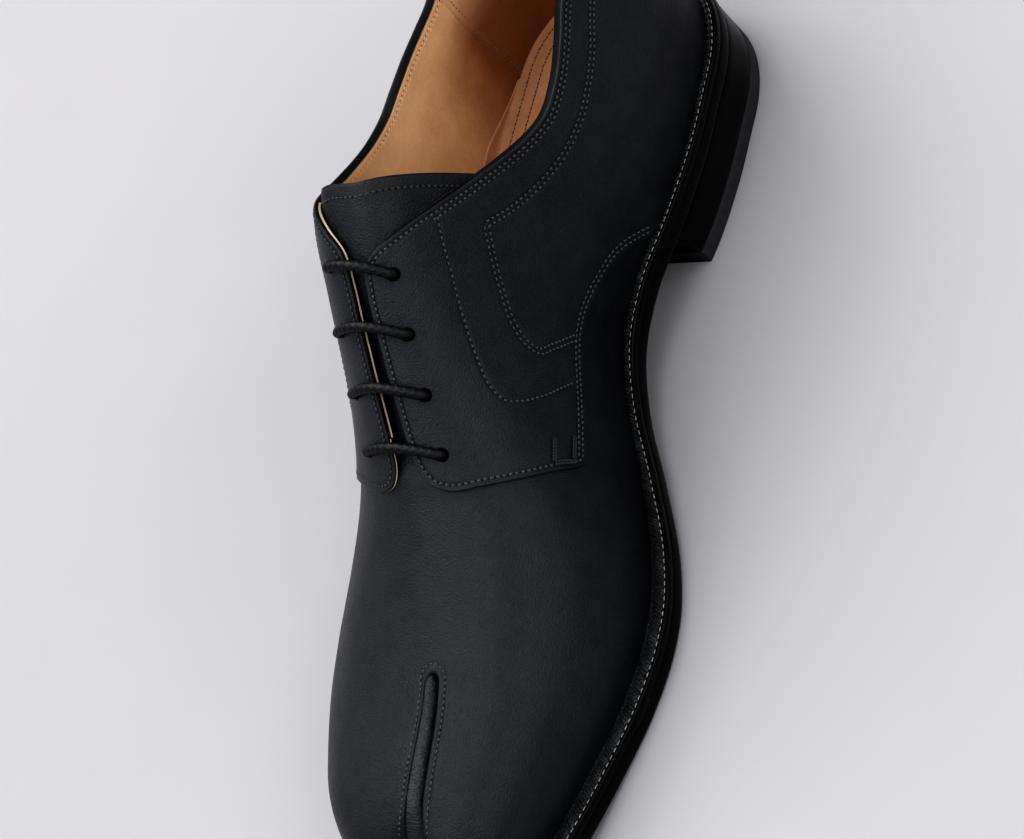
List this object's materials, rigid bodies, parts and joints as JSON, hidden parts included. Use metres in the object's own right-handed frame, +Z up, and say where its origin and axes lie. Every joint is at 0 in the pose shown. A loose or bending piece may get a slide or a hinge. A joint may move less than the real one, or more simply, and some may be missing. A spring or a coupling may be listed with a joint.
{
  "type": "split toe derby shoe",
  "caption": "Black leather lace-up derby shoe with a cleft two-lobed toe, stitched welt, low stacked heel and tan leather lining.",
  "frame": {"origin": "middle of the bounding box at floor level", "axes": "+Z up, heel towards +Y and toe towards -Y, +X to the medial (big toe) side"},
  "size_m": [0.108, 0.296, 0.1159],
  "materials": {
    "outsole": "blackened sole leather, polished edge",
    "welt": "black welt leather, stitched",
    "heel": "stacked leather, glossy black",
    "top_lift": "dark grey rubber",
    "upper": "black calf, satin",
    "insole": "natural tan leather",
    "lace": "waxed round cord"
  },
  "bodies": {
    "root": {"outsole": "outsole", "welt": "welt", "heel_stack": "heel", "top_lift": "top_lift", "upper": "upper", "tongue": "upper", "insole": "insole", "lace_bar_1": "lace", "lace_bar_2": "lace", "lace_bar_3": "lace", "lace_bar_4": "lace"}
  },
  "joints": []
}
